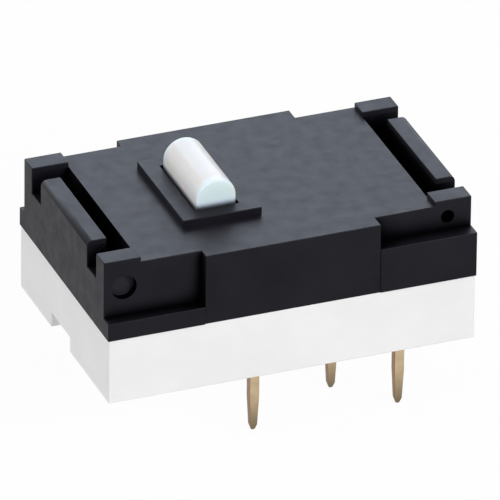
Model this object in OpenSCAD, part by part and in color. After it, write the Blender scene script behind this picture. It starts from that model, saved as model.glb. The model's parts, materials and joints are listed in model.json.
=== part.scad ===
// Micro switch with a low two-part housing, an arch-topped plunger and three board pins.
// A lever, a forked contact arm and a tension spring make the over-centre snap action.
// Origin: centre of the seating plane on the circuit board.
// +X runs along the housing towards the contacts, +Y to the back, +Z up to the plunger.

/* [Housing] */
// Overall length along X
body_length = 19.2; // [18.8:0.1:22]
// Overall width along Y
body_width = 12.5; // [12.2:0.1:14]
// Height of the base, from the board to the parting line
base_height = 3.5; // [3.4:0.1:4.2]
// Height of the cover's plate above the parting line
cover_height = 3.75; // [3.5:0.05:4.5]
// How far the base stands inside the cover's outline
base_inset = 0.05; // [0.04:0.01:0.2]
// Radius of the upright outer corners
corner_radius = 0.2; // [0.1:0.05:0.3]

/* [Base] */
// Depth of the relief in the underside, above the board
relief_depth = 0.8; // [0.6:0.05:0.9]
// Thickness of the base's floor
floor_thickness = 0.8; // [0.7:0.05:0.9]
// Margin of the relief around the pins, along X and Y
relief_margin = 1.1; // [0.9:0.05:1.2]
// Width of the channel that opens the relief through the left end
channel_width = 2.6; // [2:0.1:3]
// Distance of the channel's centre behind the housing's centre line
channel_offset = 0.55; // [0.3:0.05:0.8]
// Width of the mechanism's chamber inside the base
chamber_width = 8.4; // [8.3:0.1:8.6]
// Gap between the lever and the chamber's left end
chamber_gap = 0.3; // [0.2:0.05:0.5]
// Thickness of the lip that locates the cover
lip_thickness = 0.45; // [0.35:0.05:0.5]
// Height of the lip above the parting line
lip_height = 0.8; // [0.5:0.05:1]
// Gap around the lip, and above it
lip_gap = 0.05; // [0.03:0.01:0.08]
// Length of the cored pocket in each end of the base
core_length = 1.1; // [0.8:0.1:1.2]
// Outer wall left beside each cored pocket
core_wall = 0.9; // [0.8:0.1:1.1]

/* [Cover] */
// Thickness of the cover's plate
plate_thickness = 0.9; // [0.8:0.05:1]
// Length of the proud middle section of each long side
middle_length = 9.1; // [8.5:0.1:10]
// How far the middle section stands back from the lower bands
middle_step = 0.05; // [0.05:0.01:0.3]
// How far the left end section stands back from the lower bands
left_side_recess = 0.65; // [0.6:0.05:0.95]
// How far the right end section stands back from the lower bands
right_side_recess = 0.85; // [0.6:0.05:0.95]
// Height of the left band's ledge above the parting line
left_ledge_height = 0.95; // [0.5:0.05:1.2]
// Height of the right band's ledge above the parting line
right_ledge_height = 2.4; // [2:0.05:2.4]
// Length of the corner posts along X
post_length = 1.92; // [1.9:0.01:1.95]
// Depth of the corner posts along Y
post_depth = 1.1; // [1:0.01:1.2]
// Height of the corner posts above the plate
post_rise = 0.25; // [0.2:0.05:0.5]
// Thickness of the end tabs along X
tab_thickness = 1.02; // [0.8:0.01:1.2]
// Width of the end tabs along Y
tab_width = 6.5; // [5:0.1:6.8]
// Radius of each tab's outer top edge
tab_edge_radius = 0.3; // [0.1:0.05:0.4]
// Depth of the slots beside the tabs, below the posts' tops
slot_depth = 1.4; // [1:0.05:1.8]
// Depth of the trench behind each tab, below the plate
trench_depth = 2.5; // [1.8:0.05:2.6]

/* [Lever recesses] */
// Radius of the left recesses, which take the pivot of an outside lever
left_recess_radius = 0.65; // [0.5:0.01:0.75]
// Distance of the left recesses from the housing's end
left_recess_inset = 1.05; // [1:0.05:1.3]
// Height of the left recesses above the parting line
left_recess_height = 2.5; // [1.8:0.05:2.6]
// Radius of the right recesses, which take the catch of an outside lever
right_recess_radius = 0.35; // [0.25:0.01:0.4]
// Distance of the right recesses from the housing's end
right_recess_inset = 1.25; // [0.9:0.05:1.4]
// Height of the right recesses above the parting line
right_recess_height = 3.1; // [2.85:0.05:3.3]
// Depth of the left recesses
left_recess_depth = 0.4; // [0.3:0.05:0.7]
// Depth of the right recesses
right_recess_depth = 0.6; // [0.3:0.05:0.6]

/* [Plunger] */
// Place of the plunger along X
plunger_x = -2.55; // [-2.6:0.05:-2.4]
// Width of the plunger along X, which is also twice its crown's radius
plunger_width = 2.1; // [1.8:0.02:2.2]
// Length of the plunger along Y
plunger_length = 4.6; // [4:0.1:4.8]
// Height of the plunger's crown above the pad, at rest
plunger_rise = 1.45; // [1.2:0.05:1.8]
// Gap around the plunger in the cover's opening
plunger_gap = 0.1; // [0.08:0.01:0.25]
// How far the plunger's flange reaches beyond the opening
flange_overlap = 0.45; // [0.3:0.05:0.6]
// Thickness of the plunger's flange
flange_thickness = 0.7; // [0.5:0.05:0.8]
// Radius of the plunger's rounded foot
foot_radius = 0.6; // [0.4:0.05:0.7]
// Length of the plunger's foot along Y
foot_length = 2.4; // [1.6:0.1:2.8]
// Gap between the foot and the lever at rest
foot_gap = 0.05; // [0.03:0.01:0.1]
// Length of the raised pad along X
pad_length = 4.1; // [3.6:0.1:4.4]
// Width of the raised pad along Y
pad_width = 6.4; // [6:0.1:7]
// Height of the raised pad
pad_height = 0.4; // [0.3:0.05:0.5]

/* [Pins] */
// Pitch of the board's hole grid
pin_pitch = 2.54; // [2.5:0.01:2.58]
// Side of the square pins
pin_size = 0.5; // [0.45:0.01:0.55]
// Length of the pins below the seating plane
pin_length = 4.35; // [3:0.05:6]
// Length of each pin's taper
taper_length = 1.9; // [1:0.1:2.5]
// Side of each pin where its blunt point starts
taper_size = 0.37; // [0.25:0.01:0.42]
// Length of each pin's blunt point
point_length = 0.3; // [0.1:0.05:0.5]
// Side of each pin's end
tip_size = 0.18; // [0.1:0.01:0.22]
// Place of the pins' middle along X
pins_x = 2.7; // [2.7:0.01:2.9]
// Place of the front row of pins along Y
front_row_y = -3.81; // [-3.85:0.01:-3.75]
// Gap between a pin and its hole in the floor
pin_gap = 0.03; // [0.02:0.01:0.06]

/* [Terminals] */
// Thickness of the terminals' sheet
terminal_thickness = 0.5; // [0.45:0.01:0.55]
// Width of the branch that leads to the common pin
branch_width = 0.8; // [0.6:0.05:1]
// Width of the pillar's neck that holds the lever
neck_width = 1.2; // [1:0.05:1.3]
// Height of the pillar's neck above the lever
neck_rise = 0.35; // [0.2:0.05:0.5]
// Gap between the pillar's shoulders and the lever's underside
shoulder_gap = 0.23; // [0.2:0.01:0.3]
// Height of the web between the ears that hold the contact arm
web_height = 0.5; // [0.3:0.05:0.6]
// Height of the ears above the contact arm
ear_rise = 0.4; // [0.3:0.05:0.5]
// Depth of the contact arm's ends inside the ears' grooves
groove_depth = 0.07; // [0.05:0.01:0.1]
// Width of the normally open terminal's platform
platform_width = 2.4; // [2:0.1:2.6]
// Reach of the normally open terminal's foot to the left of its pin
foot_reach = 0.6; // [0.4:0.05:0.8]
// Width of the arm that leads to the normally closed pin
shank_width = 0.9; // [0.8:0.05:1.1]
// Metal around the root of each fixed contact
contact_margin = 0.15; // [0.1:0.01:0.2]

/* [Lever and contact arm] */
// Thickness of the lever and of the contact arm
blade_thickness = 0.25; // [0.2:0.01:0.28]
// Place of the lever's pivot along X
lever_pivot_x = -5.8; // [-5.85:0.01:-5.75]
// Height of the lever's pivot above the floor
lever_pivot_height = 3.025; // [3:0.005:3.05]
// Width of the bar behind the lever's pivot
lever_bar = 0.3; // [0.25:0.01:0.35]
// Width of the lever under the plunger
lever_width = 3; // [2.6:0.1:3.2]
// Place of the contact arm's pivot along X
arm_pivot_x = 0.13; // [0.1:0.01:0.2]
// Height of the contact arm's pivot above the floor
arm_pivot_height = 2.775; // [2.75:0.005:2.8]
// Width of the contact arm
arm_width = 3.4; // [3.3:0.1:3.6]
// Width of the window in the contact arm
window_width = 1.8; // [1.7:0.05:1.9]
// Gap at both pivots
knife_gap = 0.05; // [0.04:0.01:0.08]
// Gap between the pillar's neck and the sides of the lever's window
neck_gap = 0.1; // [0.05:0.01:0.15]
// Room to the right of the pillar's neck in the lever's window
swing_gap = 0.25; // [0.15:0.01:0.3]

/* [Contacts] */
// Distance of the contacts from the normally closed pin
contact_inset = 1.22; // [1.15:0.01:1.3]
// Gap between the open contacts at rest
contact_gap = 0.51; // [0.4:0.01:0.6]
// Gap between the closed contacts at rest
closed_gap = 0.02; // [0.01:0.01:0.03]
// Height of every contact bar
contact_height = 0.28; // [0.2:0.01:0.3]
// Width of every contact bar at its root
contact_width = 0.5; // [0.4:0.01:0.6]
// Width of the flat along each contact bar's ridge
contact_flat = 0.12; // [0.05:0.01:0.2]
// Length of every contact bar
contact_length = 1.2; // [1:0.05:1.3]

/* [Spring] */
// Diameter of the spring's wire
wire_diameter = 0.18; // [0.14:0.01:0.2]
// Mean radius of the spring's coils and of its eyes
coil_radius = 0.5; // [0.45:0.01:0.55]
// Number of full coils
coil_turns = 12; // [8:1:14]
// Place of the spring's end on the lever along X
lever_eye_x = -1.15; // [-1.2:0.01:-1.1]
// Distance of the spring's end on the contact arm from the contacts
eye_inset = 0.65; // [0.6:0.01:0.7]
// Radius of the holes that take the spring's eyes
eye_hole_radius = 0.35; // [0.32:0.01:0.38]
// Metal around those holes
eye_rim = 0.25; // [0.2:0.01:0.3]
// Distance of the lever's hole from the spring's end at rest
eye_play = 0.1; // [0.05:0.01:0.12]

/* [Hidden] */

overrun = 1;            // how far a cutting shape runs past the face it opens
section = 0.01;         // thickness of the sections that a pin's point spans
half_length = body_length / 2;
half_width = body_width / 2;
plate_top = base_height + cover_height;
plate_bottom = plate_top - plate_thickness;
post_top = plate_top + post_rise;
pad_top = plate_top + pad_height;
floor_top = relief_depth + floor_thickness;
sheet_top = floor_top + terminal_thickness;

left_face_y = half_width - left_side_recess;
right_face_y = half_width - right_side_recess;
middle_face_y = half_width - middle_step;

back_row_y = front_row_y + pin_pitch;
common_pin_x = pins_x - 1.5 * pin_pitch;
open_pin_x = common_pin_x + 2 * pin_pitch;
closed_pin_x = common_pin_x + 3 * pin_pitch;
pins = [[common_pin_x, front_row_y], [open_pin_x, back_row_y], [closed_pin_x, front_row_y]];
half_pin = pin_size / 2;
contact_x = closed_pin_x - contact_inset;
arm_eye_x = contact_x - eye_inset;

// The mechanism's chamber, the lip round it, and the cover's cavity round the lip
cavity_right = closed_pin_x + half_pin + pin_gap;
lip_right = cavity_right - lip_gap;
chamber_right = lip_right - lip_thickness;
chamber_left = lever_pivot_x - lever_bar - chamber_gap;
lip_left = chamber_left - lip_thickness;
cavity_left = lip_left - lip_gap;
chamber_y = chamber_width / 2;
lip_y = chamber_y + lip_thickness;
cavity_y = lip_y + lip_gap;
lip_top = base_height + lip_height;

lever_z = floor_top + lever_pivot_height;
lever_bottom = lever_z - blade_thickness / 2;
lever_top = lever_z + blade_thickness / 2;
lever_hole_x = lever_eye_x + eye_play;
eye_reach = eye_hole_radius + eye_rim;
arm_z = floor_top + arm_pivot_height;
arm_bottom = arm_z - blade_thickness / 2;
arm_top = arm_z + blade_thickness / 2;
closed_contact_top = arm_top + 2 * contact_height + closed_gap;
open_contact_bottom = arm_bottom - 2 * contact_height - contact_gap;
contact_reach = contact_width / 2 + contact_margin;
neck_x = lever_pivot_x + knife_gap;
ear_x = arm_pivot_x + groove_depth;

opening_x = plunger_width / 2 + plunger_gap;
opening_y = plunger_length / 2 + plunger_gap;
flange_bottom = plate_bottom - flange_thickness;
foot_bottom = lever_top + foot_gap;

eye_span = norm([arm_eye_x - lever_eye_x, lever_z - arm_z]);
spring_tilt = atan2(lever_z - arm_z, arm_eye_x - lever_eye_x);
coil_start = 2 * coil_radius;
coil_angle = 360 * coil_turns + 180;
coil_pitch = 360 * (eye_span - 2 * coil_start) / coil_angle;
wire_sides = 6;
coil_step = 30;         // degrees between the wire's sections
eye_end = -180;         // where the wire ends, in degrees around the eye
join_angle = 60;        // where the eye's tail has joined the coil, in degrees
join_steps = 4;

white = "#f1f0f2";
black = "#2b2b30";
gold = "#c9a75f";
bronze = "#b98a5a";
steel = "#c4c6ca";
silver = "#dcdcdc";

// A box between two places on each axis
module box(x, y, z) {
    translate([x[0], y[0], z[0]])
        cube([x[1] - x[0], y[1] - y[0], z[1] - z[0]]);
}

// A box centred on the X and Y axes, with rounded upright edges
module rounded_box(half_x, half_y, radius, z) {
    translate([0, 0, z[0]])
        linear_extrude(z[1] - z[0]) {
            square([2 * (half_x - radius), 2 * half_y], center = true);
            square([2 * half_x, 2 * (half_y - radius)], center = true);
            for (sx = [-1, 1], sy = [-1, 1])
                translate([sx * (half_x - radius), sy * (half_y - radius)])
                    circle(radius, $fn = 32);
        }
}

// Opening in the base's floor around one pin
module pin_hole(place) {
    reach = half_pin + pin_gap;
    translate([place[0], place[1], 0])
        box([-reach, reach], [-reach, reach], [0, floor_top + overrun]);
}

// One pin from a given height down to its blunt point
module pin(place, top) {
    sizes = [pin_size, taper_size, tip_size];
    heights = [taper_length, point_length, 0];
    translate([place[0], place[1], 0]) {
        box([-half_pin, half_pin], [-half_pin, half_pin], [taper_length - pin_length, top]);
        hull()
            for (i = [0 : 2])
                translate([0, 0, heights[i] - pin_length])
                    linear_extrude(section)
                        square(sizes[i], center = true);
    }
}

// Relief in the underside around the pins, opened to the left end by a channel
module underside_relief() {
    channel = [channel_offset - channel_width / 2, channel_offset + channel_width / 2];
    pocket_x = [common_pin_x - relief_margin, closed_pin_x + relief_margin];
    box(pocket_x, [front_row_y - relief_margin, back_row_y + relief_margin],
        [-overrun, relief_depth]);
    box([-half_length - overrun, common_pin_x], channel, [-overrun, relief_depth]);
}

// Closed pockets that lighten the base's ends
module end_cores() {
    outer_x = half_length - base_inset - core_wall;
    outer_y = half_width - base_inset - core_wall;
    for (end = [0, 1])
        mirror([end, 0, 0])
            box([outer_x - core_length, outer_x], [-outer_y, outer_y],
                [floor_top, base_height + overrun]);
}

// Slot that lets the normally closed terminal's leg pass the chamber's end
module leg_slot() {
    reach = half_pin + pin_gap;
    box([chamber_right - overrun, closed_pin_x + reach],
        [front_row_y - reach, front_row_y + reach], [floor_top, lip_top + overrun]);
}

module base() {
    color(white)
        difference() {
            union() {
                rounded_box(half_length - base_inset, half_width - base_inset, corner_radius,
                            [0, base_height]);
                box([lip_left, lip_right], [-lip_y, lip_y], [floor_top, lip_top]);
            }
            box([chamber_left, chamber_right], [-chamber_y, chamber_y],
                [floor_top, lip_top + overrun]);
            underside_relief();
            end_cores();
            leg_slot();
            for (place = pins)
                pin_hole(place);
        }
}

// Lower band along both long sides of one end, up to its ledge
module side_bands(x, ledge_height) {
    z = [base_height, base_height + ledge_height];
    intersection() {
        rounded_box(half_length, half_width, corner_radius, z);
        box(x, [-half_width, half_width], z);
    }
}

// Trench, slots and edge rounding at the right end, which free the tab and the posts
module end_cuts(face_y) {
    post_y = face_y - post_depth;
    tab_y = tab_width / 2;
    tab_x = half_length - tab_thickness;
    trench_x = half_length - post_length;
    slot_z = post_top - slot_depth;
    box([trench_x, tab_x], [-post_y, post_y], [plate_top - trench_depth, post_top + overrun]);
    for (y = [[-post_y, -tab_y], [tab_y, post_y]])
        box([trench_x, half_length + overrun], y, [slot_z, post_top + overrun]);
    difference() {
        box([half_length - tab_edge_radius, half_length + overrun], [-tab_y, tab_y],
            [post_top - tab_edge_radius, post_top + overrun]);
        translate([half_length - tab_edge_radius, 0, post_top - tab_edge_radius])
            rotate([90, 0, 0])
                cylinder(tab_width + overrun, tab_edge_radius, tab_edge_radius,
                         center = true, $fn = 48);
    }
}

// A pair of round recesses, in the front and back faces of the posts at one end
module lever_recesses(x, face_y, height, radius, depth) {
    for (side = [-1, 1])
        translate([x, side * face_y, base_height + height])
            rotate([90, 0, 0])
                cylinder(2 * depth, radius, radius, center = true, $fn = 48);
}

// One half of the cover along X, up to its faces, with the posts that stand on it
module cover_half(x, face_y) {
    plate_end = half_length - post_length;
    intersection() {
        rounded_box(half_length, face_y, corner_radius, [base_height, plate_top]);
        box(x, [-half_width, half_width], [base_height, plate_top]);
    }
    difference() {
        intersection() {
            rounded_box(half_length, face_y, corner_radius, [plate_top, post_top]);
            box(x, [-half_width, half_width], [plate_top, post_top]);
        }
        box([-plate_end, plate_end], [-half_width, half_width],
            [plate_top - overrun, post_top + overrun]);
    }
}

// Outer form of the cover, before it is hollowed and cut
module cover_form() {
    cover_half([-half_length, 0], left_face_y);
    cover_half([0, half_length], right_face_y);
    box([-middle_length / 2, middle_length / 2], [-middle_face_y, middle_face_y],
        [base_height, plate_top]);
    side_bands([-half_length, -middle_length / 2], left_ledge_height);
    side_bands([middle_length / 2, half_length], right_ledge_height);
    translate([plunger_x, 0, plate_top])
        box([-pad_length / 2, pad_length / 2], [-pad_width / 2, pad_width / 2],
            [-plate_thickness / 2, pad_height]);
}

module cover() {
    color(black)
        difference() {
            cover_form();
            box([cavity_left, cavity_right], [-cavity_y, cavity_y],
                [base_height - overrun, plate_bottom]);
            translate([plunger_x, 0, 0])
                box([-opening_x, opening_x], [-opening_y, opening_y],
                    [plate_bottom - overrun, pad_top + overrun]);
            end_cuts(right_face_y);
            mirror([1, 0, 0])
                end_cuts(left_face_y);
            lever_recesses(left_recess_inset - half_length, left_face_y, left_recess_height,
                           left_recess_radius, left_recess_depth);
            lever_recesses(half_length - right_recess_inset, right_face_y, right_recess_height,
                           right_recess_radius, right_recess_depth);
        }
}

// Crowned plunger with a flange that stops it under the plate, and a rounded foot
module plunger() {
    crown_radius = plunger_width / 2;
    crown_z = pad_top + plunger_rise - crown_radius;
    foot_z = foot_bottom + foot_radius;
    flange_x = opening_x + flange_overlap;
    flange_y = opening_y + flange_overlap;
    color(white)
        translate([plunger_x, 0, 0]) {
            box([-crown_radius, crown_radius], [-plunger_length / 2, plunger_length / 2],
                [flange_bottom, crown_z]);
            translate([0, 0, crown_z])
                rotate([90, 0, 0])
                    cylinder(plunger_length, crown_radius, crown_radius, center = true, $fn = 64);
            box([-flange_x, flange_x], [-flange_y, flange_y], [flange_bottom, plate_bottom]);
            box([-foot_radius, foot_radius], [-foot_length / 2, foot_length / 2],
                [foot_z, flange_bottom + flange_thickness / 2]);
            translate([0, 0, foot_z])
                rotate([90, 0, 0])
                    cylinder(foot_length, foot_radius, foot_radius, center = true, $fn = 64);
        }
}

// Common terminal: pin, branch and strap, the lever's pillar and the contact arm's ears
module common_terminal() {
    half_strap = arm_width / 2;
    half_neck = neck_width / 2;
    pillar = [neck_x, neck_x + terminal_thickness];
    ears = [ear_x - terminal_thickness, ear_x];
    web_top = sheet_top + web_height;
    ear_top = arm_top + ear_rise;
    color(gold) {
        pin(pins[0], sheet_top);
        difference() {
            union() {
                box([pillar[0], ears[1]], [-half_strap, half_strap], [floor_top, sheet_top]);
                box([common_pin_x - branch_width / 2, common_pin_x + branch_width / 2],
                    [front_row_y - half_pin, 0], [floor_top, sheet_top]);
                box(pillar, [-half_strap, half_strap], [floor_top, lever_bottom - shoulder_gap]);
                box(pillar, [-half_neck, half_neck], [floor_top, lever_top + neck_rise]);
                box(ears, [-half_strap, half_strap], [floor_top, ear_top]);
            }
            box([ears[0] - overrun, ears[1] + overrun],
                [-window_width / 2, window_width / 2], [web_top, ear_top + overrun]);
            box([arm_pivot_x - knife_gap, ears[1] + overrun], [-half_width, half_width],
                [arm_bottom - blade_thickness / 2, arm_top + blade_thickness / 2]);
        }
    }
}

// Normally open terminal: pin, foot and riser, and the platform under the contacts
module normally_open_terminal() {
    riser = [open_pin_x, open_pin_x + terminal_thickness];
    half_platform = platform_width / 2;
    color(gold) {
        pin(pins[1], sheet_top);
        box([open_pin_x - foot_reach, riser[1]], [back_row_y - half_pin, half_platform],
            [floor_top, sheet_top]);
        box(riser, [-half_platform, half_platform], [floor_top, open_contact_bottom]);
        box([riser[0], contact_x + contact_reach], [-half_platform, half_platform],
            [open_contact_bottom - terminal_thickness, open_contact_bottom]);
    }
}

// Normally closed terminal: pin, and the cranked plate over the contacts
module normally_closed_terminal() {
    plate = [closed_contact_top, closed_contact_top + terminal_thickness];
    plate_end = closed_pin_x + half_pin;
    plate_y = contact_length / 2 + contact_margin;
    color(gold) {
        pin(pins[2], plate[1]);
        box([contact_x - contact_reach, plate_end], [-plate_y, plate_y], plate);
        box([plate_end - shank_width, plate_end], [front_row_y - half_pin, 0], plate);
    }
}

// Lever under the plunger, with a window that hooks over the pillar
module actuating_lever() {
    lever_start = lever_pivot_x - lever_bar;
    neck_start = lever_hole_x - eye_reach;
    window_end = neck_x + terminal_thickness + swing_gap;
    window_y = neck_width / 2 + neck_gap;
    color(steel)
        difference() {
            union() {
                box([lever_start, neck_start], [-lever_width / 2, lever_width / 2],
                    [lever_bottom, lever_top]);
                box([lever_start, lever_hole_x + eye_reach], [-eye_reach, eye_reach],
                    [lever_bottom, lever_top]);
            }
            box([lever_pivot_x, window_end], [-window_y, window_y],
                [lever_bottom - overrun, lever_top + overrun]);
            translate([lever_hole_x, 0, lever_z])
                cylinder(blade_thickness + overrun, eye_hole_radius, eye_hole_radius,
                         center = true, $fn = 32);
        }
}

// Forked arm that carries the moving contacts on its nose
module contact_arm() {
    half_window = window_width / 2;
    nose_start = contact_x - contact_width / 2;
    color(bronze)
        difference() {
            union() {
                box([arm_pivot_x, nose_start], [-arm_width / 2, arm_width / 2],
                    [arm_bottom, arm_top]);
                box([arm_pivot_x, contact_x + contact_length / 2], [-half_window, half_window],
                    [arm_bottom, arm_top]);
            }
            box([arm_pivot_x - overrun, arm_eye_x - eye_reach], [-half_window, half_window],
                [arm_bottom - overrun, arm_top + overrun]);
            translate([arm_eye_x, 0, arm_z])
                cylinder(blade_thickness + overrun, eye_hole_radius, eye_hole_radius,
                         center = true, $fn = 32);
        }
}

// One contact bar with its root at a given height, its ridge up, or down if turned over
module contact_bar(root, turned) {
    translate([contact_x, 0, root])
        mirror([0, 0, turned])
            rotate([90, 0, 0])
                linear_extrude(contact_length, center = true)
                    polygon([[-contact_width / 2, 0], [contact_width / 2, 0],
                             [contact_flat / 2, contact_height],
                             [-contact_flat / 2, contact_height]]);
}

module upper_moving_contact() {
    color(silver) contact_bar(arm_top, 0);
}

module lower_moving_contact() {
    color(silver) contact_bar(arm_bottom, 1);
}

module normally_closed_contact() {
    color(silver) contact_bar(closed_contact_top, 1);
}

module normally_open_contact() {
    color(silver) contact_bar(open_contact_bottom, 0);
}

// The spring's centre line runs along X from its end on the lever, at the origin.
// A point on the eye, a point on the coil, and one on the curve that joins them:
function eye_point(angle) = coil_radius * [1 - cos(angle), 0, sin(angle)];
function coil_point(angle) =
    [coil_start + coil_pitch * angle / 360, coil_radius * sin(angle), coil_radius * cos(angle)];
function join_point(t) =
    let (a = eye_point(90), b = coil_point(join_angle),
         reach = coil_radius / 2,
         along = [0, cos(join_angle), -sin(join_angle)],
         c = a + [reach, 0, 0], d = b - reach * along)
    pow(1 - t, 3) * a + 3 * pow(1 - t, 2) * t * c + 3 * (1 - t) * t * t * d + t * t * t * b;

// One half of the centre line, and the whole line with the other half turned about Y
function half_line() = concat(
    [for (angle = [eye_end : coil_step : 90]) eye_point(angle)],
    [for (i = [1 : join_steps - 1]) join_point(i / join_steps)],
    [for (angle = [join_angle : coil_step : coil_angle / 2]) coil_point(angle)]);
function turned_half(line) =
    [for (i = [len(line) - 2 : -1 : 0]) [eye_span - line[i][0], line[i][1], -line[i][2]]];
function whole_line() = let (line = half_line()) concat(line, turned_half(line));

// Directions along the line, and directions across it that turn as little as they can
function unit(v) = v / norm(v);
function directions(line) =
    let (last = len(line) - 1)
    [for (i = [0 : last]) unit(line[min(i + 1, last)] - line[max(i - 1, 0)])];
function square_to(v, direction) = unit(v - (v * direction) * direction);
function crossings(ways) =
    [for (i = 0, across = [0, 1, 0];
          i < len(ways);
          i = i + 1, across = i < len(ways) ? square_to(across, ways[i]) : across) across];

// A wire swept along a line of points
module wire(line) {
    ways = directions(line);
    across = crossings(ways);
    corner = 360 / wire_sides;
    points = [for (i = [0 : len(line) - 1])
              for (k = [0 : wire_sides - 1])
              line[i] + wire_diameter / 2
                  * (cos(k * corner) * across[i] + sin(k * corner) * cross(ways[i], across[i]))];
    sides = [for (i = [0 : len(line) - 2])
             for (k = [0 : wire_sides - 1])
             let (a = i * wire_sides + k, b = i * wire_sides + (k + 1) % wire_sides)
             [a, a + wire_sides, b + wire_sides, b]];
    first_end = [for (k = [0 : wire_sides - 1]) k];
    last_end = [for (k = [wire_sides - 1 : -1 : 0]) (len(line) - 1) * wire_sides + k];
    polyhedron(points, concat([first_end, last_end], sides), convexity = 10);
}

module tension_spring() {
    color(steel)
        translate([lever_eye_x, 0, lever_z])
            rotate([0, spring_tilt, 0])
                wire(whole_line());
}

base();
cover();
plunger();
common_terminal();
normally_open_terminal();
normally_closed_terminal();
actuating_lever();
contact_arm();
tension_spring();
upper_moving_contact();
lower_moving_contact();
normally_closed_contact();
normally_open_contact();
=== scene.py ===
import json
import math

import bmesh
import bpy
from mathutils import Matrix, Vector

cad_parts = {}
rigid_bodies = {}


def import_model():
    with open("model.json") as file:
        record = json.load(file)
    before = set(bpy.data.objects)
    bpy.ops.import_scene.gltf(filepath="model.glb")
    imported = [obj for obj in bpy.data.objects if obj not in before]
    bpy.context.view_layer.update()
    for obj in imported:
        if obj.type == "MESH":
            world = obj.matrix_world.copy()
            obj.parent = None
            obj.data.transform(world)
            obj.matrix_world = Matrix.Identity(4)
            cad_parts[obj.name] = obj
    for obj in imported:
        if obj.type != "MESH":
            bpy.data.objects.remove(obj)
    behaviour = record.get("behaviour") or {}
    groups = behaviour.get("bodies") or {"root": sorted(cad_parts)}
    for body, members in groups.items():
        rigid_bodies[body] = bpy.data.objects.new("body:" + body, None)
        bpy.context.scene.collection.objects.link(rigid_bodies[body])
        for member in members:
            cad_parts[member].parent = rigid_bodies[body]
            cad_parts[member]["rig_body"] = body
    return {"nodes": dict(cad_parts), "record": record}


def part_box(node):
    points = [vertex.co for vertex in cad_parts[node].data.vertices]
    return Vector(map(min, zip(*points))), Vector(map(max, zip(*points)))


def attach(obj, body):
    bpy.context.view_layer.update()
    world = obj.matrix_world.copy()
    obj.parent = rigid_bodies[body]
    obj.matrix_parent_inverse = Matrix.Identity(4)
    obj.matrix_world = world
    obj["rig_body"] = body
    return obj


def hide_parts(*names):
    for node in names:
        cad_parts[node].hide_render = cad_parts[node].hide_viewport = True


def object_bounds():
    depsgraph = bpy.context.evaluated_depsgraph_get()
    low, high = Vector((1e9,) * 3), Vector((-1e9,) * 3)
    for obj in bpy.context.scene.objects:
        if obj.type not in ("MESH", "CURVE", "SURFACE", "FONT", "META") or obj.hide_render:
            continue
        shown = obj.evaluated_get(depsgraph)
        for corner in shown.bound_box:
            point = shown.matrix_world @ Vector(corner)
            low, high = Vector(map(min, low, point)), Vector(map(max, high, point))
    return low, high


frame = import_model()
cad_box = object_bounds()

# The looks of a miniature snap switch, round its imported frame. Lengths are in metres.
MM = 0.001

# The camera: where it stands, its lens, where its view starts, and how far to the right of and
# above the switch's centre it aims
CAMERA_AZIMUTH = 338.707
CAMERA_ELEVATION = 29.293
CAMERA_ROLL = 0.626
CAMERA_DISTANCE = 649.19 * MM
CAMERA_LENS = 953.34
CAMERA_START = 10 * MM
FRAMING_RIGHT = 0.130 * MM
FRAMING_UP = 0.960 * MM

# The lamps: azimuth and elevation they stand at, distance, width, height, the share of plain white
# that they give a face turned to them, and their colour
PLAIN = (1.0, 1.0, 1.0)
COOL = (0.74, 0.84, 1.0)
LAMPS = {
    "top_lamp": (0, 80, 0.50, 0.40, 0.40, 0.17, PLAIN),
    "key_lamp": (28, 27, 0.50, 0.17, 0.17, 0.60, PLAIN),
    "left_lamp": (290, 20, 0.50, 0.35, 0.35, 0.31, PLAIN),
    "rim_lamp": (210, 20, 0.50, 0.34, 0.30, 0.21, PLAIN),
    "back_lamp": (163, 30, 0.45, 0.56, 0.32, 1.50, COOL),
}
# Lamps that only show as a sheen on glossy faces
SHEEN_ONLY = ("back_lamp",)

# The surround: how strongly it lights the switch, and its tint
SKY_LIGHT = 0.28
SKY_TINT = (0.97, 0.985, 1.0, 1.0)

# The floor: its width, its colour, and how much of it shows as plain white to the camera
FLOOR_WIDTH = 4.0
FLOOR_COLOUR = (0.92, 0.92, 0.92, 1.0)
FLOOR_WHITE = 0.96

# Rounded edges, in millimetres: their widths, steps and form, and the weight of large faces in
# the shading next to them
COVER_EDGE = 0.05
BASE_EDGE = 0.07
PLUNGER_EDGE = 0.12
PIN_EDGE = 0.05
EDGE_STEPS = 3
EDGE_PROFILE = 0.5
FACE_WEIGHT = 100

# Edges: the angle from which one is rounded, or is shaded sharp in an inner corner, the angle from
# which a rounding's own edges would be, and the angle below which two faces count as one
SHARP_EDGE = math.radians(25)
ROUND_STEP = math.radians(40)
FLAT_JOINT = math.radians(0.6)

# Faces and points, in millimetres: how far the normal of an upright face may lean, how far a
# corner's facet turns from both axes, how large a round corner is closed, and how near two points,
# or a point and a recess's rim, count as the same
UPRIGHT = 0.01
ASKEW = 0.05
CORNER_LIMIT = 0.35
WELD = 0.0005
RIM_FIT = 0.01

# Plain white and black
WHITE = (1.0, 1.0, 1.0, 1.0)
BLACK = (0.0, 0.0, 0.0, 1.0)

# Plastics: darkest and lightest tone, then roughness, gloss and depth of the mould's texture
BLACK_TONES = ((0.0085, 0.0080, 0.0116, 1.0), (0.0118, 0.0112, 0.0156, 1.0))
BLACK_FINISH = (0.42, 0.075, 0.0020 * MM)
# Painted light: the paler tones of the left recess floors, which lift them to the panel's tone
RECESS_LIGHT_TONES = ((0.0190, 0.0180, 0.0235, 1.0), (0.0215, 0.0205, 0.0260, 1.0))
RECESS_FINISH = (0.42, 0.075, 0.0010 * MM)
WHITE_TONES = ((0.760, 0.755, 0.755, 1.0), (0.800, 0.795, 0.790, 1.0))
WHITE_FINISH = (0.50, 0.35, 0.0015 * MM)
IVORY_TONES = ((0.690, 0.685, 0.700, 1.0), (0.720, 0.712, 0.700, 1.0))
IVORY_FINISH = (0.34, 0.40, 0.0008 * MM)
ROUGHNESS_SPREAD = 0.05

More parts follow.
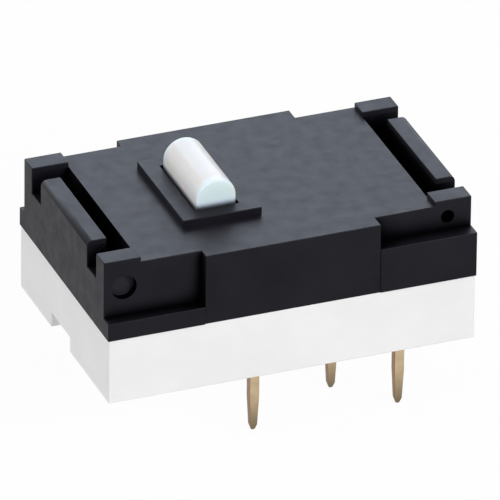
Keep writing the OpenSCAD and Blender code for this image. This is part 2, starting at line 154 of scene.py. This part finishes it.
# Plastics: size of the patches of tone, of the texture, and of the patches of gloss
TONE_GRAIN = 2.5 * MM
MOULD_GRAIN = 0.12 * MM
GLOSS_GRAIN = 0.72 * MM

# The plunger: the paler tone painted on its lower sides as light that shines through it, and the
# height above the pad where it is full, the cool tone painted on its ends as their bluish shade and
# how far it reaches, and how deep light goes into it, by colour
SIDE_LIGHT_TONE = (0.97, 0.96, 0.97, 1.0)
SIDE_LIGHT_START = 0.25 * MM
END_SHADE_TONE = (0.75, 0.885, 1.00, 1.0)
END_SHADE_REACH = 0.45 * MM
GLOW_DEPTH = 0.5 * MM
GLOW_SHARES = (0.9, 0.7, 0.4)

# Painted shade in the inner corners of the cover and in the gap round the plunger's stem: how far
# walls reach to darken them, and the open share at which the painted shade is darkest and clear.
# The cover's plate and pad stay clear.
CORNER_REACH = 1.5 * MM
CORNER_SHADE = (0.58, 0.86)
GAP_REACH = 0.5 * MM
GAP_SHADE = (0.58, 0.80)
CORNER_LEAST = 0.10
PLATE_BELOW_PAD = 0.42 * MM
SHADE_SAMPLES = 8

# Metals: dullest and brightest tone, then roughness, stretch of the lines and their depth
ALONG_PINS = (1.0, 1.0, 0.06)
ALONG_BLADES = (0.06, 1.0, 1.0)
UNSTRETCHED = (1.0, 1.0, 1.0)
BRASS_TONES = ((0.50, 0.385, 0.24, 1.0), (0.62, 0.47, 0.30, 1.0))
BRASS_FINISH = (0.38, ALONG_PINS, 0.0015 * MM)
BRONZE_TONES = ((0.50, 0.33, 0.20, 1.0), (0.60, 0.42, 0.26, 1.0))
BRONZE_FINISH = (0.30, ALONG_BLADES, 0.001 * MM)
STEEL_TONES = ((0.44, 0.44, 0.45, 1.0), (0.56, 0.56, 0.57, 1.0))
STEEL_FINISH = (0.28, ALONG_BLADES, 0.001 * MM)
SILVER_TONES = ((0.66, 0.65, 0.62, 1.0), (0.80, 0.79, 0.76, 1.0))
SILVER_FINISH = (0.32, UNSTRETCHED, 0.002 * MM)
POLISHED = 0.06
TARNISHED = 0.08
LINE_GRAIN = 0.05 * MM
PATCH_GRAIN = 0.5 * MM

# The pins: the darker tone of their tips, how far up it reaches, the shade painted on their two
# sides along X, and the share of that painted shade on faces from nearly to quite square to X
TIP_TONE = (0.17, 0.135, 0.085, 1.0)
TIP_REACH = 2.2 * MM
SIDE_SHADE_TONE = (0.205, 0.105, 0.048, 1.0)
SIDE_SHADE_SHARE = 0.8
SIDE_SHADE_FACING = (0.6, 0.9)


def add(tree, kind, inputs=None, **settings):
    """A shader node with its settings made, and its inputs set or linked."""
    made = tree.nodes.new(kind)
    for name, value in settings.items():
        setattr(made, name, value)
    for name, value in (inputs or {}).items():
        if isinstance(value, bpy.types.NodeSocket):
            tree.links.new(value, made.inputs[name])
        else:
            made.inputs[name].default_value = value
    return made


def noise(tree, place, grain, detail):
    """Noise from 0 to 1, with patches about one grain across."""
    inputs = {"Vector": place, "Scale": 1 / grain, "Detail": detail}
    return add(tree, "ShaderNodeTexNoise", inputs).outputs[0]


def spread(tree, amount, low, high, start=0.3, end=0.7):
    """A number from low to high as amount goes from start to end."""
    inputs = {"Value": amount, "From Min": start, "From Max": end, "To Min": low, "To Max": high}
    return add(tree, "ShaderNodeMapRange", inputs).outputs[0]


def mix_colours(tree, amount, first, second):
    """The first colour where amount is 0 and the second where it is 1."""
    made = add(tree, "ShaderNodeMix", data_type="RGBA")
    for index, value in ((0, amount), (6, first), (7, second)):
        if isinstance(value, bpy.types.NodeSocket):
            tree.links.new(value, made.inputs[index])
        else:
            made.inputs[index].default_value = value
    return made.outputs[2]


def relief(tree, height, depth, under=None):
    """A bump of that depth, laid over another one if given."""
    inputs = {"Height": height, "Distance": depth, "Strength": 1.0}
    if under is not None:
        inputs["Normal"] = under
    return add(tree, "ShaderNodeBump", inputs).outputs[0]


def new_material(name):
    """An empty Principled material: its tree, its shader and the object's own coordinates."""
    made = bpy.data.materials.new(name)
    made.use_nodes = True
    tree = made.node_tree
    shader = tree.nodes["Principled BSDF"]
    place = add(tree, "ShaderNodeTexCoord").outputs["Object"]
    return made, tree, shader, place


def link(tree, shader, **sockets):
    """Links outputs to the shader's inputs, named with underscores for spaces."""
    for name, value in sockets.items():
        tree.links.new(value, shader.inputs[name.replace("_", " ")])


def plastic(name, tones, roughness, specular, depth):
    """Moulded plastic: a slow change of tone, an uneven gloss and the fine texture of the mould."""
    made, tree, shader, place = new_material(name)
    slow = noise(tree, place, TONE_GRAIN, 3.0)
    fine = noise(tree, place, MOULD_GRAIN, 4.0)
    gloss = noise(tree, place, GLOSS_GRAIN, 3.0)
    waves = relief(tree, gloss, 2 * depth)
    link(
        tree,
        shader,
        Base_Color=mix_colours(tree, spread(tree, slow, 0, 1), *tones),
        Roughness=spread(
            tree, gloss, roughness - ROUGHNESS_SPREAD, roughness + ROUGHNESS_SPREAD
        ),
        Normal=relief(tree, fine, depth, waves),
    )
    shader.inputs["Specular IOR Level"].default_value = specular
    return made, tree, shader, place


def paint_occlusion_shade(tree, shader, place, top, reach, shut, free, only_local):
    """Paints shade into inner corners, slots and gaps below the top height, where walls shut them
    in, by darkening colour and gloss.
    """
    nearby = add(
        tree,
        "ShaderNodeAmbientOcclusion",
        {"Distance": reach},
        only_local=only_local,
        samples=SHADE_SAMPLES,
    ).outputs["AO"]
    z = add(tree, "ShaderNodeSeparateXYZ", {"Vector": place}).outputs["Z"]
    above = add(tree, "ShaderNodeMath", {0: z, 1: top}, operation="GREATER_THAN").outputs[0]
    inputs = {0: spread(tree, nearby, CORNER_LEAST, 1, shut, free), 1: above}
    open_share = add(tree, "ShaderNodeMath", inputs, operation="MAXIMUM").outputs[0]
    gloss = shader.inputs["Specular IOR Level"].default_value
    body = shader.inputs["Base Color"].links[0].from_socket
    # painted shade: the occlusion darkens the base colour and the gloss together
    link(
        tree,
        shader,
        Base_Color=mix_colours(tree, open_share, BLACK, body),
        Specular_IOR_Level=spread(tree, open_share, 0, gloss, 0, 1),
    )


def metal(name, tones, roughness, stretch, depth):
    """Stamped or drawn metal: fine lines along the stretch, with dull patches."""
    made, tree, shader, place = new_material(name)
    drawn = add(tree, "ShaderNodeMapping", {"Vector": place, "Scale": stretch}).outputs[0]
    lines = noise(tree, drawn, LINE_GRAIN, 3.0)
    patches = noise(tree, place, PATCH_GRAIN, 4.0)
    link(
        tree,
        shader,
        Base_Color=mix_colours(tree, spread(tree, patches, 0, 1), *tones),
        Roughness=spread(tree, patches, roughness - POLISHED, roughness + TARNISHED),
        Normal=relief(tree, lines, depth),
    )
    shader.inputs["Metallic"].default_value = 1.0
    return made, tree, shader, place


def end_tint(tree, shader, place, half, reach, colour):
    """Tints both ends of a piece along Y with a colour that fades in over the reach."""
    y = add(tree, "ShaderNodeSeparateXYZ", {"Vector": place}).outputs["Y"]
    away = add(tree, "ShaderNodeMath", {0: y}, operation="ABSOLUTE").outputs[0]
    share = spread(tree, away, 0, 1, half - reach, half)
    body = shader.inputs["Base Color"].links[0].from_socket
    link(tree, shader, Base_Color=mix_colours(tree, share, body, colour))


def low_tint(tree, shader, place, top, bottom, colour):
    """Fades a colour in downwards, from none at the top height to all of it at the bottom one."""
    z = add(tree, "ShaderNodeSeparateXYZ", {"Vector": place}).outputs["Z"]
    share = spread(tree, z, 1, 0, bottom, top)
    body = shader.inputs["Base Color"].links[0].from_socket
    link(tree, shader, Base_Color=mix_colours(tree, share, body, colour))


def paint_side_shade(tree, shader, colour):
    """Paints shade on the two sides along X, where the stamping tool has cut through the sheet."""
    facing = add(tree, "ShaderNodeTexCoord").outputs["Normal"]
    x = add(tree, "ShaderNodeSeparateXYZ", {"Vector": facing}).outputs["X"]
    away = add(tree, "ShaderNodeMath", {0: x}, operation="ABSOLUTE").outputs[0]
    share = spread(tree, away, 0, SIDE_SHADE_SHARE, *SIDE_SHADE_FACING)
    body = shader.inputs["Base Color"].links[0].from_socket
    link(tree, shader, Base_Color=mix_colours(tree, share, body, colour))


def square_corners(shape):
    """Closes the small round corners between upright walls, so that one rounding fits all edges."""
    facets = {
        f
        for f in shape.faces
        if abs(f.normal.z) < UPRIGHT and min(abs(f.normal.x), abs(f.normal.y)) > ASKEW
    }
    while facets:
        group = [facets.pop()]
        for face in group:
            near = {f for e in face.edges for f in e.link_faces} & facets
            facets -= near
            group += near
        facing = sum((f.normal for f in group), Vector())
        points = {v for f in group for v in f.verts}
        xs, ys = [v.co.x for v in points], [v.co.y for v in points]
        if max(max(xs) - min(xs), max(ys) - min(ys)) > CORNER_LIMIT:
            continue
        for point in points:
            point.co.x = max(xs) if facing.x > 0 else min(xs)
            point.co.y = max(ys) if facing.y > 0 else min(ys)
    bmesh.ops.remove_doubles(shape, verts=shape.verts, dist=WELD)


def recess_rims():
    """The axis in X and Z and the radius of every round recess, in millimetres."""
    mounts = [m for m in frame["record"]["mounts"] if m["kind"] == "bore"]
    return [(m["pos_m"][0] / MM, m["pos_m"][2] / MM, m["dims"]["r_mm"]) for m in mounts]


def is_outer_edge(edge, parting, rims):
    """Whether an edge sticks out, and isn't at the parting height or on a recess's rim."""
    if not edge.is_convex or edge.calc_face_angle() < SHARP_EDGE:
        return False
    if all(abs(v.co.z - parting) < WELD for v in edge.verts):
        return False
    for x, z, radius in rims:
        if all(abs(math.hypot(v.co.x - x, v.co.z - z) - radius) < RIM_FIT for v in edge.verts):
            return False
    return True


def keep_flats(shape):
    """Marks inner corners and unrounded edges as sharp, so that flat faces are shaded flat."""
    for edge in shape.edges:
        if not edge.is_manifold:
            continue
        limit = ROUND_STEP if edge.is_convex else SHARP_EDGE
        edge.smooth = edge.calc_face_angle() < limit


def rounded(node, name, material, width):
    """A copy of a CAD solid with its outer edges rounded, which stands for the node."""
    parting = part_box("cover")[0].z / MM
    rims = recess_rims()
    shape = bmesh.new()
    shape.from_mesh(frame["nodes"][node].data)
    to_mm = Matrix.Scale(1 / MM, 4)
    shape.transform(to_mm)
    bmesh.ops.remove_doubles(shape, verts=shape.verts, dist=WELD)
    square_corners(shape)
    bmesh.ops.dissolve_limit(
        shape, angle_limit=FLAT_JOINT, verts=shape.verts, edges=shape.edges
    )
    sharp = [e for e in shape.edges if is_outer_edge(e, parting, rims)]
    bmesh.ops.bevel(
        shape,
        geom=sharp,
        offset=width,
        offset_type="OFFSET",
        segments=EDGE_STEPS,
        profile=EDGE_PROFILE,
        affect="EDGES",
        clamp_overlap=False,
    )
    for face in shape.faces:
        face.smooth = True
    keep_flats(shape)
    shape.transform(to_mm.inverted())
    mesh = bpy.data.meshes.new(name)
    shape.to_mesh(mesh)
    shape.free()
    mesh.materials.append(material)
    piece = bpy.data.objects.new(name, mesh)
    bpy.context.scene.collection.objects.link(piece)
    normals = piece.modifiers.new("flat_faces", "WEIGHTED_NORMAL")
    normals.weight = FACE_WEIGHT
    normals.keep_sharp = True
    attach(piece, frame["nodes"][node]["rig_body"])
    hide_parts(node)
    return piece


def paint_recess_floor_light(piece, material):
    """Paints light on the floors of the two left recesses: a paler tone that lifts them to the
    panel's tone.
    """
    piece.data.materials.append(material)
    for mount in frame["record"]["mounts"]:
        if mount["kind"] != "bore" or not mount["name"].startswith("left"):
            continue
        axis = Vector(mount["pos_m"])
        for face in piece.data.polygons:
            away = math.hypot(face.center.x - axis.x, face.center.z - axis.z) / MM
            inside = abs(face.center.y) < abs(axis.y) and face.center.y * axis.y > 0
            if inside and away < RIM_FIT and abs(face.normal.y) > 1 - UPRIGHT:
                face.material_index = 1


def dress(node, material):
    """Gives a CAD node that stays in view its material."""
    slots = frame["nodes"][node].data.materials
    slots.clear()
    slots.append(material)


def direction(azimuth, elevation):
    """The way from the switch towards something at that azimuth and elevation."""
    a, e = math.radians(azimuth), math.radians(elevation)
    return Vector((math.sin(a) * math.cos(e), -math.cos(a) * math.cos(e), math.sin(e)))


def make_camera(centre):
    """The camera, at the angle that shows the left end, the front and the top."""
    back = direction(CAMERA_AZIMUTH, CAMERA_ELEVATION)
    upright = back.to_track_quat("Z", "Y").to_matrix()
    right, up = upright.col[0], upright.col[1]
    camera = bpy.data.objects.new("camera", bpy.data.cameras.new("camera"))
    bpy.context.scene.collection.objects.link(camera)
    camera.rotation_mode = "QUATERNION"
    camera.rotation_quaternion = (
        upright @ Matrix.Rotation(math.radians(CAMERA_ROLL), 3, "Z")
    ).to_quaternion()
    aim = centre + right * FRAMING_RIGHT + up * FRAMING_UP
    camera.location = aim + back * CAMERA_DISTANCE
    camera.data.lens = CAMERA_LENS
    camera.data.clip_start = CAMERA_START
    bpy.context.scene.camera = camera


def make_lamps(centre):
    """Soft lamps that face the switch."""
    for name, (azimuth, elevation, distance, width, height, share, colour) in LAMPS.items():
        lamp = bpy.data.objects.new(name, bpy.data.lights.new(name, "AREA"))
        bpy.context.scene.collection.objects.link(lamp)
        back = direction(azimuth, elevation)
        lamp.location = centre + back * distance
        lamp.rotation_mode = "QUATERNION"
        lamp.rotation_quaternion = back.to_track_quat("Z", "Y")
        lamp.data.shape = "RECTANGLE"
        lamp.data.size = width
        lamp.data.size_y = height
        lamp.data.color = colour
        lamp.visible_diffuse = name not in SHEEN_ONLY
        lamp.data.energy = share * (math.pi * distance) ** 2


def seen_directly(tree):
    """1 for camera, glossy and transmission rays, and 0 for the rays that light things."""
    path = add(tree, "ShaderNodeLightPath").outputs
    either = add(
        tree,
        "ShaderNodeMath",
        {0: path["Is Camera Ray"], 1: path["Is Glossy Ray"]},
        operation="MAXIMUM",
    ).outputs[0]
    inputs = {0: either, 1: path["Is Transmission Ray"]}
    return add(tree, "ShaderNodeMath", inputs, operation="MAXIMUM").outputs[0]


def make_sky():
    """A plain white surround, which lights the switch less than it shows."""
    world = bpy.data.worlds.new("sky")
    bpy.context.scene.world = world
    world.use_nodes = True
    tree = world.node_tree
    tree.nodes.clear()
    light = add(tree, "ShaderNodeBackground", {"Color": SKY_TINT, "Strength": SKY_LIGHT})
    white = add(tree, "ShaderNodeBackground", {"Color": WHITE, "Strength": 1.0})
    mixed = add(
        tree,
        "ShaderNodeMixShader",
        {0: seen_directly(tree), 1: light.outputs[0], 2: white.outputs[0]},
    )
    add(tree, "ShaderNodeOutputWorld", {"Surface": mixed.outputs[0]})


def make_floor(height):
    """A plain pale floor under the pins, which keeps the switch's shadow."""
    bpy.ops.mesh.primitive_plane_add(size=FLOOR_WIDTH, location=(0, 0, height))
    floor = bpy.context.object
    floor.name = "floor"
    material = bpy.data.materials.new("pale_floor")
    material.use_nodes = True
    tree = material.node_tree
    tree.nodes.clear()
    matt = add(tree, "ShaderNodeBsdfDiffuse", {"Color": FLOOR_COLOUR})
    white = add(tree, "ShaderNodeEmission", {"Color": WHITE, "Strength": 1.0})
    inputs = {0: seen_directly(tree), 1: FLOOR_WHITE}
    share = add(tree, "ShaderNodeMath", inputs, operation="MULTIPLY").outputs[0]
    mixed = add(
        tree, "ShaderNodeMixShader", {0: share, 1: matt.outputs[0], 2: white.outputs[0]}
    )
    add(tree, "ShaderNodeOutputMaterial", {"Surface": mixed.outputs[0]})
    floor.data.materials.append(material)


def cover_plastic():
    """Black satin plastic, with shade painted into the slots and inner corners below the cover's
    plate.
    """
    made, *nodes = plastic("black_plastic", BLACK_TONES, *BLACK_FINISH)
    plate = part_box("cover")[1].z - PLATE_BELOW_PAD
    # painted shade: slots and inner corners darkened by occlusion
    paint_occlusion_shade(*nodes, plate, CORNER_REACH, *CORNER_SHADE, only_local=True)
    return made


def plunger_plastic():
    """Translucent white plastic, with a cool shade painted on its ends, light painted on its lower
    sides and shade painted in the gap round the stem.
    """
    made, *nodes = plastic("ivory_plastic", IVORY_TONES, *IVORY_FINISH)
    pad_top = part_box("cover")[1].z
    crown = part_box("plunger")[1].z
    stem = [v.co.y for v in frame["nodes"]["plunger"].data.vertices if v.co.z > pad_top]
    # painted light: paler lower sides, standing in for light that shines through the stem
    low_tint(*nodes, crown, pad_top + SIDE_LIGHT_START, SIDE_LIGHT_TONE)
    # painted shade: a cool, paler tone on both end faces, standing in for their bluish shade
    end_tint(*nodes, max(stem), END_SHADE_REACH, END_SHADE_TONE)
    # painted shade: the gap round the stem and the stem's foot darkened by occlusion
    paint_occlusion_shade(*nodes, crown, GAP_REACH, *GAP_SHADE, only_local=False)
    shader = nodes[1]
    shader.inputs["Subsurface Weight"].default_value = 1.0
    shader.inputs["Subsurface Radius"].default_value = GLOW_SHARES
    shader.inputs["Subsurface Scale"].default_value = GLOW_DEPTH
    return made


def terminal_brass():
    """Dull gold-flashed brass, darker at the pins' tips, with shade painted on their sides along X.
    """
    made, *nodes = metal("brass", BRASS_TONES, *BRASS_FINISH)
    pin_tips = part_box("common_terminal")[0].z
    low_tint(*nodes, pin_tips + TIP_REACH, pin_tips, TIP_TONE)
    # painted shade on the pins' sides along X
    paint_side_shade(*nodes[:2], SIDE_SHADE_TONE)
    return made


def make_housing():
    """The base, and the cover with light painted on its left recess floors."""
    white = plastic("white_plastic", WHITE_TONES, *WHITE_FINISH)[0]
    recess = plastic("black_recess_floor_painted_light", RECESS_LIGHT_TONES, *RECESS_FINISH)[0]
    rounded("base", "base_moulding", white, BASE_EDGE)
    cover = rounded("cover", "cover_moulding", cover_plastic(), COVER_EDGE)
    # painted light on the left recess floors
    paint_recess_floor_light(cover, recess)


def make_plunger():
    """The plunger."""
    rounded("plunger", "plunger_moulding", plunger_plastic(), PLUNGER_EDGE)


def make_terminals():
    """The three terminals, whose tails are the pins."""
    brass = terminal_brass()
    for node in ("common_terminal", "normally_open_terminal", "normally_closed_terminal"):
        rounded(node, node + "_stamping", brass, PIN_EDGE)


def finish_mechanism():
    """The finishes of the pieces inside, which stay as they are in the frame."""
    bronze = metal("bronze", BRONZE_TONES, *BRONZE_FINISH)[0]
    steel = metal("steel", STEEL_TONES, *STEEL_FINISH)[0]
    silver = metal("silver", SILVER_TONES, *SILVER_FINISH)[0]
    dress("actuating_lever", bronze)
    dress("contact_arm", bronze)
    dress("tension_spring", steel)
    dress("upper_moving_contact", silver)
    dress("lower_moving_contact", silver)
    dress("normally_closed_contact", silver)
    dress("normally_open_contact", silver)


bpy.context.scene.view_settings.view_transform = "Standard"
make_camera((cad_box[0] + cad_box[1]) / 2)
make_sky()
make_lamps((cad_box[0] + cad_box[1]) / 2)
make_floor(cad_box[0].z)
make_housing()
make_plunger()
make_terminals()
finish_mechanism()
